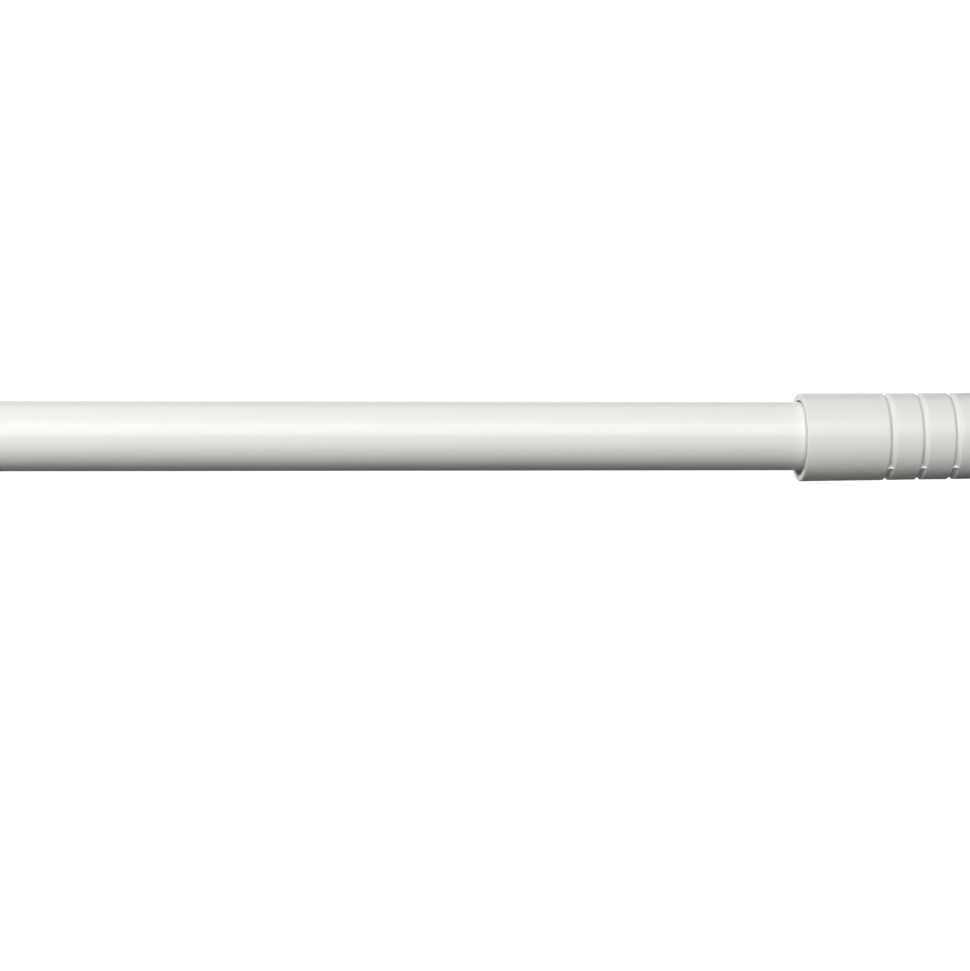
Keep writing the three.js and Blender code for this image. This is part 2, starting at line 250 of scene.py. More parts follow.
def outward(outline):
    """The outward unit normals of a smooth closed outline that runs anticlockwise."""
    along = np.roll(outline, -1, 0) - np.roll(outline, 1, 0)
    along /= np.linalg.norm(along, axis=1)[:, None]
    return np.stack([along[:, 1], -along[:, 0]], -1)


def inside(points, outline):
    """Which points lie inside a closed outline."""
    a, b = outline[None], np.roll(outline, -1, 0)[None]
    p = points[:, None]
    spans = (a[..., 1] > p[..., 1]) != (b[..., 1] > p[..., 1])
    rise = np.where(spans, b[..., 1] - a[..., 1], 1)
    crossing = a[..., 0] + (p[..., 1] - a[..., 1]) * (b[..., 0] - a[..., 0]) / rise
    return (spans & (p[..., 0] < crossing)).sum(1) % 2 == 1


def flat_fill(loops):
    """Triangles between an outer loop and the loops inside it. A loop is (its points, its indices)."""
    points = np.vstack([loop for loop, _ in loops])
    index = np.concatenate([ids for _, ids in loops])
    edges, first = [], 0
    for loop, _ in loops:
        edges += [(first + i, first + (i + 1) % len(loop)) for i in range(len(loop))]
        first += len(loop)
    found = delaunay_2d_cdt([Vector(p) for p in points], edges, [], 0, MERGE_DISTANCE)
    sources = [ids[0] if ids else 0 for ids in found[3]]
    triangles = np.array([[sources[i] for i in face] for face in found[2]])
    centres = points[triangles].mean(1)
    keep = inside(centres, loops[0][0])
    for loop, _ in loops[1:]:
        keep &= ~inside(centres, loop)
    return index[triangles[keep]].tolist()


def slab(name, outline, thickness, edge, features, place):
    """A slab with rounded edges, its back on Z = 0.

    Each feature is (centre, rows, goes through): rows of (radius, height) pairs that leave the front
    face, and reach the back or close.
    """
    normals = outward(outline)
    bend = np.radians(np.linspace(0, 90, 5))
    rows = [(edge + EDGE_SUPPORT, 0)]
    rows += [(edge * (1 - math.sin(t)), edge * (1 - math.cos(t))) for t in bend]
    rows += [(0, edge + EDGE_SUPPORT), (0, thickness - edge - EDGE_SUPPORT)]
    rows += [(edge * (1 - math.cos(t)), thickness - edge * (1 - math.sin(t))) for t in bend]
    rows += [(edge + EDGE_SUPPORT, thickness)]
    points, faces, m = [], grid_faces(len(rows), len(outline)), len(outline)
    for inset, height in rows:
        ring = outline - normals * inset
        points.append(np.column_stack([ring, np.full(m, height)]))
    back = [(points[0][:, :2], np.arange(m))]
    front = [(points[-1][:, :2], np.arange(m) + (len(rows) - 1) * m)]
    count = len(rows) * m
    turn = np.linspace(0, TAU, HOLE_COLUMNS, endpoint=False)
    for centre, steps, through in features:
        circle = np.stack([np.cos(turn), np.sin(turn)], -1)
        for r, height in steps:
            points.append(np.column_stack([circle * r + centre, np.full(HOLE_COLUMNS, height)]))
        faces += [f[::-1] for f in grid_faces(len(steps), HOLE_COLUMNS, count)]
        last = count + (len(steps) - 1) * HOLE_COLUMNS
        front.append((circle * steps[0][0] + centre, np.arange(HOLE_COLUMNS) + count))
        if through:
            back.append((circle * steps[-1][0] + centre, np.arange(HOLE_COLUMNS) + last))
        else:
            faces.append(list(range(last, last + HOLE_COLUMNS))[::-1])
        count = last + HOLE_COLUMNS
    faces += flat_fill(front)
    faces += [f[::-1] for f in flat_fill(back)]
    piece = mesh_object(name, np.vstack(points) * MM, faces)
    tidy(piece)
    move(piece, place)
    return piece


def tidy(piece):
    """Turns every face of a closed mesh the same way, out."""
    work = bmesh.new()
    work.from_mesh(piece.data)
    bmesh.ops.recalc_face_normals(work, faces=work.faces)
    if work.calc_volume(signed=True) < 0:
        bmesh.ops.reverse_faces(work, faces=work.faces)
    work.to_mesh(piece.data)
    work.free()


# ---- Materials ----------------------------------------------------------------------------------

class Finish:
    """A node material that is put together step by step."""

    def __init__(self, name, colour, roughness, metallic=0.0, ior=1.5):
        self.material = bpy.data.materials.new(name)
        self.material.use_nodes = True
        self.tree = self.material.node_tree
        self.shader = self.tree.nodes["Principled BSDF"]
        self.shader.inputs["Base Color"].default_value = (*colour, 1)
        self.shader.inputs["Roughness"].default_value = roughness
        self.shader.inputs["Metallic"].default_value = metallic
        self.shader.inputs["IOR"].default_value = ior
        self.place = self.tree.nodes.new("ShaderNodeTexCoord").outputs["Object"]
        self.colour = colour

    def stretched(self, scale):
        """The place on the object, stretched by a factor along each axis."""
        node = self.tree.nodes.new("ShaderNodeMapping")
        node.inputs["Scale"].default_value = scale
        self.tree.links.new(self.place, node.inputs["Vector"])
        return node.outputs["Vector"]

    def noise(self, scale, detail, place=None):
        """Soft noise, mostly between 0.3 and 0.7."""
        node = self.tree.nodes.new("ShaderNodeTexNoise")
        node.inputs["Scale"].default_value = scale
        node.inputs["Detail"].default_value = detail
        self.tree.links.new(place or self.place, node.inputs["Vector"])
        return node.outputs["Fac"]

    def specks(self, scale, size):
        """1 in rare round specks and 0 between them."""
        cells = self.tree.nodes.new("ShaderNodeTexVoronoi")
        cells.inputs["Scale"].default_value = scale
        self.tree.links.new(self.place, cells.inputs["Vector"])
        return self.ramp(cells.outputs["Distance"], size, size * 0.6)

    def ramp(self, value, low, high, to_low=0.0, to_high=1.0):
        """A value carried over from one range to another, and held at the second one's ends."""
        node = self.tree.nodes.new("ShaderNodeMapRange")
        node.inputs["From Min"].default_value = low
        node.inputs["From Max"].default_value = high
        node.inputs["To Min"].default_value = to_low
        node.inputs["To Max"].default_value = to_high
        self.tree.links.new(value, node.inputs["Value"])
        return node.outputs["Result"]

    def times(self, a, b):
        node = self.tree.nodes.new("ShaderNodeMath")
        node.operation = "MULTIPLY"
        self.tree.links.new(a, node.inputs[0])
        self.tree.links.new(b, node.inputs[1])
        return node.outputs["Value"]

    def tint(self, amount, other):
        """Mixes another colour in by an amount."""
        node = self.tree.nodes.new("ShaderNodeMix")
        node.data_type = "RGBA"
        self.tree.links.new(amount, node.inputs["Factor"])
        base = self.shader.inputs["Base Color"]
        if base.is_linked:
            self.tree.links.new(base.links[0].from_socket, node.inputs["A"])
        else:
            node.inputs["A"].default_value = (*self.colour, 1)
        node.inputs["B"].default_value = (*other, 1)
        self.tree.links.new(node.outputs["Result"], base)

    def roughen(self, value):
        self.tree.links.new(value, self.shader.inputs["Roughness"])

    def bump(self, height, depth_mm):
        """Adds relief of a height from 0 to 1, on top of any relief before it."""
        node = self.tree.nodes.new("ShaderNodeBump")
        node.inputs["Distance"].default_value = depth_mm * MM
        self.tree.links.new(height, node.inputs["Height"])
        normal = self.shader.inputs["Normal"]
        if normal.is_linked:
            self.tree.links.new(normal.links[0].from_socket, node.inputs["Normal"])
        self.tree.links.new(node.outputs["Normal"], normal)


def baked_paint():
    """The tubes' smooth baked paint: faint drawing lines along the steel, and a fine orange peel."""
    finish = Finish("tube_paint", (0.79, 0.79, 0.747), 0.17, ior=1.34)
    cloud = finish.noise(26, 3)
    finish.tint(finish.ramp(cloud, 0.35, 0.7, 0, 0.22), (0.77, 0.775, 0.733))
    finish.roughen(finish.ramp(finish.noise(60, 3), 0.3, 0.7, 0.15, 0.19))
    along = finish.noise(900, 2, finish.stretched((0.02, 1, 1)))
    finish.bump(along, 0.002)
    finish.bump(finish.noise(700, 2), 0.0015)
    return finish.material


def moulded_plastic():
    """The caps' glossy moulding: slight flow marks round the barrel and a fine texture."""
    finish = Finish("cap_plastic", (0.75, 0.75, 0.711), 0.2, ior=1.34)
    flow = finish.noise(40, 3, finish.stretched((2.5, 1, 1)))
    finish.tint(finish.ramp(flow, 0.35, 0.7, 0, 0.25), (0.73, 0.735, 0.697))
    finish.roughen(finish.ramp(finish.noise(80, 3), 0.3, 0.7, 0.17, 0.22))
    finish.bump(finish.noise(1100, 3), 0.002)
    finish.bump(finish.noise(220, 1), 0.004)
    return finish.material


def plug_plastic():
    """The plugs' plain, matt moulding."""
    finish = Finish("plug_plastic", (0.70, 0.70, 0.655), 0.55)
    finish.tint(finish.ramp(finish.noise(60, 4), 0.35, 0.75, 0, 0.3), (0.64, 0.64, 0.58))
    finish.roughen(finish.ramp(finish.noise(150, 3), 0.3, 0.7, 0.5, 0.62))
    finish.bump(finish.noise(1400, 3), 0.01)
    return finish.material


def powder_coat():
    """The brackets' thicker powder coat, with a visible orange peel."""
    finish = Finish("bracket_paint", (0.79, 0.79, 0.755), 0.36)
    finish.tint(finish.ramp(finish.noise(35, 3), 0.35, 0.7, 0, 0.25), (0.76, 0.765, 0.73))
    finish.roughen(finish.ramp(finish.noise(90, 3), 0.3, 0.7, 0.32, 0.42))
    finish.bump(finish.noise(420, 2), 0.025)
    finish.bump(finish.noise(1500, 2), 0.006)
    dust = finish.times(finish.specks(200, 0.06), finish.ramp(finish.noise(110, 1), 0.52, 0.57))
    finish.tint(finish.ramp(dust, 0, 1, 0, 0.4), (0.6, 0.6, 0.58))
    return finish.material


def zinc_plate():
    """Bright zinc on small screws: bluish and straw patches, and fine tool marks."""
    finish = Finish("zinc_steel", (0.66, 0.67, 0.68), 0.28, metallic=1.0)
    finish.tint(finish.ramp(finish.noise(260, 3), 0.4, 0.68, 0, 0.45), (0.70, 0.67, 0.60))
    finish.tint(finish.ramp(finish.noise(340, 4), 0.45, 0.7, 0, 0.4), (0.55, 0.58, 0.64))
    finish.roughen(finish.ramp(finish.noise(500, 4), 0.3, 0.7, 0.2, 0.42))
    finish.bump(finish.noise(2600, 3), 0.008)
    return finish.material


MATERIALS = {
    "tube_paint": baked_paint(),
    "cap_plastic": moulded_plastic(),
    "plug_plastic": plug_plastic(),
    "bracket_paint": powder_coat(),
    "zinc_steel": zinc_plate(),
}


def finish_piece(piece, body, slot, node):
    """Gives a piece its material and its body, and hides the CAD node that it stands for."""
    piece.data.materials.clear()
    piece.data.materials.append(MATERIALS[slot])
    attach(piece, body)
    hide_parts(node)


# ---- The tubes ----------------------------------------------------------------------------------

TUBE_WALL = 0.8
TUBE_COLUMNS = 160
TUBE_INNER_ROUND, TUBE_OUTER_ROUND = 0.15, 0.3
SEAM_RISE = 0.05              # the weld seam inside a tube
SEAM_WIDTH = 0.06             # radians
SEAM_ANGLE = math.radians(70)


def make_tube(node, body):
    """A tube with rolled ends, from the size and place of its CAD node."""
    low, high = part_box(node)
    length = (high.x - low.x) / MM
    outside = (high.z - low.z) / 2 / MM
    inside_r = outside - TUBE_WALL
    profile = rounded([
        (inside_r, length / 2),
        (inside_r, 0, TUBE_INNER_ROUND),
        (outside, 0, TUBE_OUTER_ROUND),
        (outside, length, TUBE_OUTER_ROUND),
        (inside_r, length, TUBE_INNER_ROUND),
        (inside_r, length / 2),
    ])[:-1]

    def seam(r, h, angle):
        off = (angle - SEAM_ANGLE + math.pi) % TAU - math.pi
        inner = r < inside_r + SEAM_RISE
        return r - inner * SEAM_RISE * np.exp(-(off / SEAM_WIDTH) ** 2)

    place = standing((1, 0, 0), (low.x, ROD_Y, ROD_Z))
    piece = spun(node + "_skin", profile, place, TUBE_COLUMNS, radius=seam)
    finish_piece(piece, body, "tube_paint", node)


# ---- The end caps -------------------------------------------------------------------------------

CAP_DRAFT = math.tan(math.radians(0.27))
CAP_BORE_R = 10.2
CAP_BORE_DEPTH = 50.5
CAP_BORE_FLARE = 0.25             # how much wider the bore is at the mouth
CAP_BORE_DROP = 0.15              # how far down it is off centre there
CAP_DROOP = math.radians(0.5)     # the loose right cap's mouth hangs down
CAP_PIVOT = 42                    # from the mouth to the point that it tilts about
CAP_BACK = 0.5                    # how far the right cap is set towards the wall
CAP_COLUMNS = 180
MOUTH_INNER_ROUND, MOUTH_OUTER_ROUND = 0.15, 0.4
BORE_END_ROUND = 0.8
CAP_END_ROUND = 2.4
BARREL_START, BARREL_END = 20, 48     # plain heights before the first groove and after the last
GROOVE_FIRST, GROOVE_PITCH, GROOVE_COUNT = 24.2, 9.15, 3
GROOVE_HALF_WIDTH, GROOVE_DEPTH = 1.0, 1.0
GROOVE_REACH, GROOVE_ROWS = 1.7, 41               # the close rows on each side of a groove's middle
LIP_ROUND, FLOOR_ROUND = 0.05, 0.06
WEB_ANGLES = (math.radians(-43), math.radians(137))   # where the mould's two halves met
WEB_HALF_WIDTH = 0.27
WEB_SHARPNESS = 6                 # how square a web's sides are
WEB_HEIGHT = 0.8                  # share of the groove's depth that a web fills
WEB_REACH, WEB_EXTRA = 0.09, 25   # radians on each side of a web, and the columns in between
GATE_R = 1.6                      # the moulding gate's mark in the closed end
GATE_DEPTH = 0.2


def groove_depth(h):
    """How deep the grooves are at a height: rounded Vs."""
    depth = 0 * h
    for i in range(GROOVE_COUNT):
        off = np.sqrt((h - GROOVE_FIRST - i * GROOVE_PITCH) ** 2 + FLOOR_ROUND ** 2)
        rise = (GROOVE_HALF_WIDTH - off) * GROOVE_DEPTH / GROOVE_HALF_WIDTH
        depth = depth + (rise + np.sqrt(rise ** 2 + LIP_ROUND ** 2)) / 2
    return depth


def cap_heights():
    """Heights along the barrel, close together in the grooves."""
    across = np.linspace(-GROOVE_REACH, GROOVE_REACH, GROOVE_ROWS)
    return np.concatenate([GROOVE_FIRST + i * GROOVE_PITCH + across for i in range(GROOVE_COUNT)])


def cap_angles():
    """Even angles, with more of them about each web."""
    even = np.linspace(0, TAU, CAP_COLUMNS, endpoint=False)
    extra = [angle + np.linspace(-WEB_REACH, WEB_REACH, WEB_EXTRA) for angle in WEB_ANGLES]
    return np.unique(np.round(np.concatenate([even, *extra]) % TAU, 5))


def make_cap(node, body, place, down):
    """A cap, put in place by a matrix. down is the angle about its own Z that ends up lowest."""
    length, mouth = CAP_LENGTH / MM, CAP_MOUTH_R / MM
    end_r = mouth - length * CAP_DRAFT
    bore_end = [
        (3, CAP_BORE_DEPTH),
        (CAP_BORE_R, CAP_BORE_DEPTH, BORE_END_ROUND),
        (CAP_BORE_R, CAP_BORE_DEPTH / 2),
    ]
    rim = [
        (CAP_BORE_R, CAP_BORE_DEPTH / 2),
        (CAP_BORE_R, 0, MOUTH_INNER_ROUND),
        (mouth, 0, MOUTH_OUTER_ROUND),
        (mouth - CAP_DRAFT * BARREL_START, BARREL_START),
    ]
    closed_end = [(end_r, BARREL_END), (end_r, length, CAP_END_ROUND), (GATE_R + 1, length + 0.001)]
    profile = [(0, CAP_BORE_DEPTH)] + rounded(bore_end)[:-1] + rounded(rim)[:-1]
    profile += [(mouth - h * CAP_DRAFT, h) for h in cap_heights()]
    profile += rounded(closed_end, 8)[1:]
    profile += [(GATE_R, length), (GATE_R - 0.15, length - 0.15)]
    profile += [(GATE_R / 2, length - GATE_DEPTH), (0, length - GATE_DEPTH)]

    def barrel(r, h, angle):
        web = 0 * angle
        for centre in WEB_ANGLES:
            off = (angle - centre + math.pi) % TAU - math.pi
            web = web + np.exp(-((off * mouth / WEB_HALF_WIDTH) ** WEB_SHARPNESS))
        outside = (r > CAP_BORE_R + 0.3) & (h > 5) & (h < length - 3)
        grooved = r - outside * groove_depth(h) * (1 - WEB_HEIGHT * web)
        towards_mouth = np.clip(1 - h / CAP_BORE_DEPTH, 0, 1)
        flare = CAP_BORE_FLARE + CAP_BORE_DROP * np.cos(angle - down)
        in_bore = r < CAP_BORE_R + MOUTH_INNER_ROUND + 0.01
        return grooved + in_bore * towards_mouth * flare

    piece = spun(node + "_shell", profile, place, angles=cap_angles(), radius=barrel, sharp_angle=50)
    finish_piece(piece, body, "cap_plastic", node)


def make_caps():
    turn_left = Matrix.Rotation(-math.pi / 2, 4, "Y")
    turn_right = Matrix.Rotation(math.pi / 2, 4, "Y")
    left_mouth = Matrix.Translation((cap_high.x, ROD_Y, ROD_Z))
    make_cap("left_end_cap", "left_cap", left_mouth @ turn_left, math.pi)
    pivot = Matrix.Translation((RIGHT_MOUTH + CAP_PIVOT * MM, ROD_Y + CAP_BACK * MM, ROD_Z))
    tilt = Matrix.Rotation(-CAP_DROOP, 4, "Y") @ Matrix.Translation((-CAP_PIVOT * MM, 0, 0))
    make_cap("right_end_cap", "right_cap", pivot @ tilt @ turn_right, 0)


GAP = 0.3                         # the usual clearance between two pieces
PLUG_FLANGE = 3
PLUG_BODY = 15
PLUG_RINGS = 3
PLUG_RELIEF = 0.5
PLUG_NOSE = 1.1                   # how much smaller the plug's inner end is
PLUG_HOLLOW_R, PLUG_HOLLOW = 3, 1


def make_plug(node, body, tube, facing):
    """The plug in a tube's end: crush rings on its body, and a flange behind the tube's end."""
    low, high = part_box(tube)
    grip = (high.z - low.z) / 2 / MM - TUBE_WALL - GAP
    end = high.x if facing > 0 else low.x
    step = PLUG_BODY / PLUG_RINGS
    root = grip - PLUG_RELIEF
    ring = ((0.15, root, 0.15), (0.4, grip, 0.2), (0.6, grip, 0.2), (0.85, root, 0.15))
    corners = [(0, -PLUG_BODY), (grip - PLUG_NOSE, -PLUG_BODY, 0.2)]
    for i in range(PLUG_RINGS):
        bottom = -PLUG_BODY + i * step
        corners += [(r, bottom + share * step, edge) for share, r, edge in ring]
    flange, face = CAP_BORE_R - 2 * GAP, GAP + PLUG_FLANGE
    corners += [(root, GAP, 0.1), (flange, GAP, 0.3), (flange, face, 0.3)]
    corners += [(PLUG_HOLLOW_R, face, 0.3), (PLUG_HOLLOW_R - 0.6, face - PLUG_HOLLOW, 0.3)]
    corners += [(0, face - PLUG_HOLLOW)]
    piece = spun(node + "_body", rounded(corners), standing((facing, 0, 0), (end, ROD_Y, ROD_Z)), 96)
    finish_piece(piece, body, "plug_plastic", node)


# ---- Screws -------------------------------------------------------------------------------------

SCREW_R = 1.9
HEAD_R, HEAD_HEIGHT = 4.2, 2.3
WALL_SCREW_LENGTH, WALL_SCREW_POINT, WALL_SCREW_PITCH = 34, 7, 1.6
WALL_THREAD_DEPTH, WALL_THREAD_CREST = 0.55, 0.45
CRADLE_SCREW_LENGTH = 13.9
MACHINE_PITCH = 0.8
MACHINE_THREAD_DEPTH, MACHINE_THREAD_CREST = 0.3, 0.9
THREAD_COLUMNS = 32
RECESS_TOP = (0.3, 2.35, 0.48)    # height above the head, half length and half width of a slot
RECESS_BOTTOM = (-1.75, 0.85, 0.3)


def thread(r, h, angle, pitch, depth, crest):
    """A radius with a helical thread cut into it. crest is the share of the pitch that stands up."""
    turn = (h / pitch - angle / TAU) % 1
    ridge = np.clip((1 - np.abs(2 * turn - 1) - (1 - crest)) / crest, 0, 1)
    return r - depth * (1 - ridge)


def screw_rows(length, point, pitch):
    """Profile rows of a countersunk screw with its head's top at height 0."""
    head = rounded([
        (SCREW_R * 0.8, -HEAD_HEIGHT - 0.8),
        (SCREW_R, -HEAD_HEIGHT, 0.4),
        (HEAD_R, -0.25, 0.1),
        (HEAD_R, 0, 0.12),
        (1, 0),
    ])
    shank = [(SCREW_R, -h) for h in np.arange(HEAD_HEIGHT + 1.2, length - point, pitch / 8)][::-1]
    tip = []
    if point:
        tip = [(SCREW_R * math.sqrt(k), -length + k * point) for k in np.linspace(0.02, 0.98, 40)]
    return [(0, -length)] + tip + shank + head[1:] + [(0, 0)]


def cut_cross(piece):
    """Cuts a tapered cross recess into a head whose top is on Z = 0."""
    tools = []
    for turn in (0, math.pi / 2):
        points = []
        for height, half_length, half_width in (RECESS_TOP, RECESS_BOTTOM):
            corners = ((-1, -1), (1, -1), (1, 1), (-1, 1))
            points += [(x * half_length, y * half_width, height) for x, y in corners]
        faces = [(0, 1, 2, 3), (7, 6, 5, 4), (0, 4, 5, 1), (1, 5, 6, 2), (2, 6, 7, 3), (3, 7, 4, 0)]
        tool = mesh_object("recess_tool", np.array(points) * MM, faces)
        tidy(tool)
        move(tool, Matrix.Rotation(turn, 4, "Z"))
        tools.append(tool)
    combine(tools[0], tools[1], "UNION")
    combine(piece, tools[0], "DIFFERENCE")
    smooth(piece.data, SMOOTH_ANGLE)


def countersunk_screw(name, length, point, pitch, depth, crest, place):
    """A screw with its head's top at the place's origin and its point along the place's -Z."""
    def radius(r, h, angle):
        threaded = (h < -HEAD_HEIGHT - 1.1) & (h > -length + 0.1)
        core = depth * np.clip(r / SCREW_R, 0, 1)
        return np.where(threaded, thread(r, h, angle, pitch, core, crest), r + 0 * angle)

    piece = spun(name, screw_rows(length, point, pitch), Matrix(), THREAD_COLUMNS, radius=radius)
    cut_cross(piece)
    move(piece, place)
    return piece


def make_wall_screws(side):
    for place in ("upper", "lower"):
        node = f"{side}_{place}_wall_screw"
        low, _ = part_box(node)
        at = (BRACKET_X[side], low.y, middle(node).z)
        piece = countersunk_screw(node + "_threaded", WALL_SCREW_LENGTH, WALL_SCREW_POINT,
                                  WALL_SCREW_PITCH, WALL_THREAD_DEPTH, WALL_THREAD_CREST,
                                  standing((0, -1, 0), at))
        finish_piece(piece, "wall_side", "zinc_steel", node)


def make_cradle_screw(side):
    node = side + "_cradle_screw"
    low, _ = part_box(node)
    at = (BRACKET_X[side], low.y, ROD_Z)
    piece = countersunk_screw(node + "_threaded", CRADLE_SCREW_LENGTH, 0, MACHINE_PITCH,
                              MACHINE_THREAD_DEPTH, MACHINE_THREAD_CREST, standing((0, -1, 0), at))
    finish_piece(piece, side + "_arm", "zinc_steel", node)


# ---- Thumbscrews --------------------------------------------------------------------------------

SHANK_R = 2
SHANK_LENGTH = 18.5
KNOB_R = 6.5
KNOB_HEIGHT = 9
KNOB_COLLAR_R, KNOB_COLLAR = 4.2, 1.6
KNOB_GRIP = 5.4                   # how far the shank goes into the knob
KNOB_RIM, KNOB_DISH = 2, 0.6
KNOB_RIDGES = 24
RIDGE_DEPTH = 0.45
RIDGE_COLUMNS = 12                # columns for each ridge
SHANK_GAP = 0.2                   # round a thumbscrew's shank
LOCK_THREAD_DEPTH = 0.28


def make_shank(node, body):
    """A thumbscrew's threaded shank, which points up to the tube or the arm that it locks."""
    rows = [(0, 0), (SHANK_R - 0.5, 0), (SHANK_R - 0.45, 0.02)]
    rows += [(SHANK_R, h) for h in np.arange(0.45, SHANK_LENGTH - 0.2, MACHINE_PITCH / 10)]
    rows += [(SHANK_R - 0.3, SHANK_LENGTH), (0, SHANK_LENGTH)]

    def radius(r, h, angle):
        cut = thread(r, h, angle, MACHINE_PITCH, LOCK_THREAD_DEPTH, MACHINE_THREAD_CREST)
        return np.where((h > 0.4) & (h < SHANK_LENGTH - 0.1), cut, r + 0 * angle)

    at = (middle(node).x, middle(node).y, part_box(node)[1].z)
    piece = spun(node + "_threaded", rows, standing((0, 0, -1), at), THREAD_COLUMNS, radius=radius)
    finish_piece(piece, body, "zinc_steel", node)


def make_knob(node, body):
    """A fluted knob with a collar, pressed on the shank, and a dished end to turn it by."""
    hole, dish = SHANK_R + SHANK_GAP, KNOB_HEIGHT - KNOB_DISH
    corners = [
        (0, KNOB_GRIP + GAP),
        (hole, KNOB_GRIP + GAP),
        (hole, 0, 0.3),
        (KNOB_COLLAR_R, 0, 0.4),
        (KNOB_COLLAR_R, KNOB_COLLAR, 0.5),
        (KNOB_R, KNOB_COLLAR, 0.7),
        (KNOB_R, KNOB_HEIGHT, 0.9),
        (KNOB_R - KNOB_RIM, KNOB_HEIGHT, 0.4),
        (KNOB_R - KNOB_RIM - KNOB_DISH, dish, 0.4),
        (0, dish),
    ]

    def flutes(r, h, angle):
        share = np.clip((r - KNOB_COLLAR_R - 0.4) / (KNOB_R - KNOB_COLLAR_R - 0.9), 0, 1)
        wave = (0.5 - 0.5 * np.cos(KNOB_RIDGES * angle)) ** 0.7
        return r - RIDGE_DEPTH * wave * share

    at = (middle(node).x, middle(node).y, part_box(node)[1].z)
    columns = KNOB_RIDGES * RIDGE_COLUMNS
    piece = spun(node + "_grip", rounded(corners, 5), standing((0, 0, -1), at), columns, radius=flutes)
    finish_piece(piece, body, "bracket_paint", node)


# ---- Brackets -----------------------------------------------------------------------------------

PLATE_WIDTH, PLATE_HEIGHT, PLATE_THICKNESS = 26, 88, 3
WALL_SCREW_Z = 33
SOCKET_R, SOCKET_LENGTH = 8.5, 36
ARM_R = 5
LOCK_Y = -32
BOSS_R, BOSS_LENGTH = 5, 6
CRADLE_R, CRADLE_THICKNESS, CRADLE_WIDTH = 10.8, 2.4, 14
CRADLE_BACK_RISE, CRADLE_FRONT_RISE = 9, 5
CRADLE_BOSS_R, CRADLE_BOSS_LENGTH = 6.9, 9
ARM_IN_CRADLE = 8
OUTER_TUBE_R = 9.5
PLATE_EDGE, CRADLE_EDGE = 0.7, 0.5
SINK_R, HOLE_R = 4.5, 2.2         # a countersink's top and the screw hole under it
SINK_DEPTH = 2.3
SOCKET_WELD = 1.4                 # the fillet between socket and plate
BEAD_R = 0.85
BEAD_SIDES = 12
BEAD_REACH = 0.86                 # how wide the back bead is kept, as a share of its boss's radius


def bead(name, path):
    """A closed weld bead along a loop of points in mm, a little lumpy."""
    count = len(path)
    along = np.roll(path, -1, 0) - np.roll(path, 1, 0)
    along /= np.linalg.norm(along, axis=1)[:, None]
    up = path - path.mean(0)
    up -= along * (up * along).sum(1)[:, None]
    up /= np.linalg.norm(up, axis=1)[:, None]
    across = np.cross(along, up)
    run = np.arange(count) / count * TAU
    size = BEAD_R * (1 + 0.07 * np.sin(17 * run) + 0.05 * np.sin(29 * run + 1))
    points = []
    for k in range(BEAD_SIDES):
        turn = TAU * k / BEAD_SIDES
        points.append(path + size[:, None] * (up * math.cos(turn) + across * math.sin(turn)))
    faces = []
    for k in range(BEAD_SIDES):
        here, above = k * count, (k + 1) % BEAD_SIDES * count
        for i in range(count):
            after = (i + 1) % count
            faces.append([here + i, above + i, above + after, here + after])
    piece = mesh_object(name, np.vstack(points) * MM, faces)
    tidy(piece)
    return piece


def boss(name, radius, low, high, direction, at):
    """A plain boss with a rounded far end, from low to high along a direction."""
    corners = [(0, low), (radius, low), (radius, high, 0.5), (1, high), (0, high)]
    return spun(name, rounded(corners), standing(direction, at), 64)


def bore(name, radius, low, high, direction, at):
    """A tool that cuts a bore with a small lead-in at its high end."""
    wide, past = radius + 0.35, high + 3
    corners = [(0, low), (radius, low), (radius, high - 0.35), (wide, high), (wide, past), (0, past)]
    return spun(name, corners, standing(direction, at), 64)


